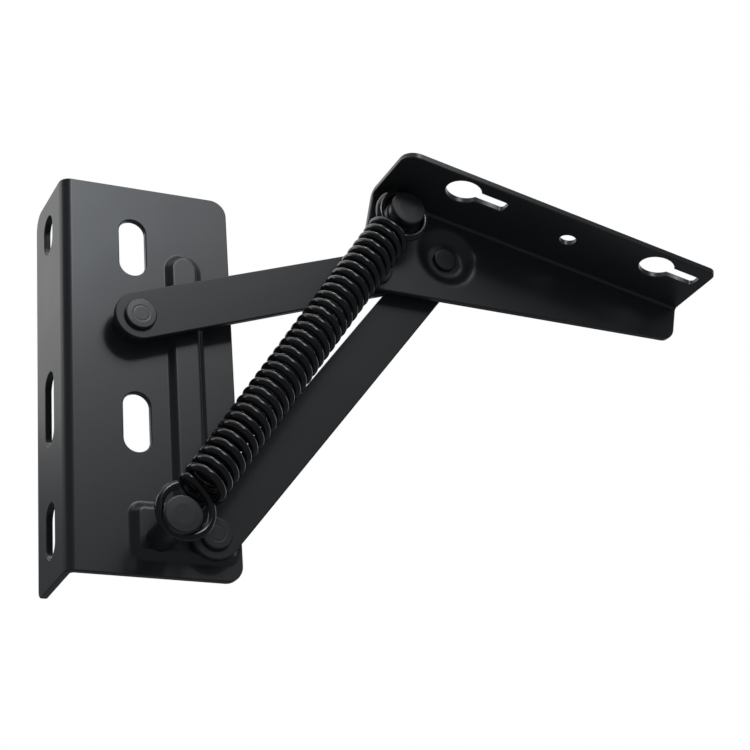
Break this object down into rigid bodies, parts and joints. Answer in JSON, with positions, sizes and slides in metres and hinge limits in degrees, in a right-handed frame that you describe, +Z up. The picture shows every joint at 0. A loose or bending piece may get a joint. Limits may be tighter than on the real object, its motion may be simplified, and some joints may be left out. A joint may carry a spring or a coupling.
{
  "type": "lift-up seat hinge",
  "caption": "Spring-assisted four-bar hinge: slotted base bracket, two arms and a folded seat bracket with keyholes.",
  "frame": {"origin": "middle of the two slots of the base plate, on its back face", "axes": "+X along the base plate towards the seat side, +Y out of the back face of the base plate, +Z up"},
  "size_m": [0.2012, 0.0593, 0.1279],
  "materials": {
    "bracket_coat": "satin",
    "arm_coat": "satin",
    "rivet_coat": "satin",
    "spring_coat": "gloss"
  },
  "bodies": {
    "base": {"base_bracket": "bracket_coat", "upper_base_rivet": "rivet_coat", "upper_base_spacer": "rivet_coat", "lower_base_rivet": "rivet_coat", "lower_base_washer": "rivet_coat", "base_spring_pin": "rivet_coat"},
    "upper_arm": {"upper_arm": "arm_coat"},
    "lower_arm": {"lower_arm": "arm_coat"},
    "seat": {"seat_bracket": "bracket_coat", "upper_seat_rivet": "rivet_coat", "upper_seat_washer": "rivet_coat", "lower_seat_rivet": "rivet_coat", "lower_seat_washer": "rivet_coat", "seat_spring_pin": "rivet_coat"},
    "spring": {"spring": "spring_coat"}
  },
  "joints": [
    {"name": "lower_arm_pivot", "type": "hinge", "parent": "base", "child": "lower_arm", "pos_m": [0.02, -0.0056, -0.06075], "axis": [0, -1, 0], "range_deg": [0, 11.3]},
    {"name": "seat_pivot", "type": "hinge", "parent": "lower_arm", "child": "seat", "pos_m": [0.098, -0.0056, 0.03475], "axis": [0, -1, 0], "range_deg": [0, 58.8]},
    {"name": "upper_arm_pivot", "type": "hinge", "parent": "base", "child": "upper_arm", "pos_m": [-0.0007, -0.0079, 0.00225], "axis": [0, -1, 0], "range_deg": [-5, 0]},
    {"name": "spring_pivot", "type": "hinge", "parent": "base", "child": "spring", "pos_m": [0.0049, -0.0197, -0.0622], "axis": [0, -1, 0], "range_deg": [0, 4.9], "deforming": ["spring"]}
  ],
  "couplings": [
    {"joint": "lower_arm_pivot", "follows": "seat_pivot", "ratio": 0.19047},
    {"joint": "upper_arm_pivot", "follows": "seat_pivot", "ratio": -0.08421},
    {"joint": "spring_pivot", "follows": "seat_pivot", "ratio": 0.08159}
  ]
}
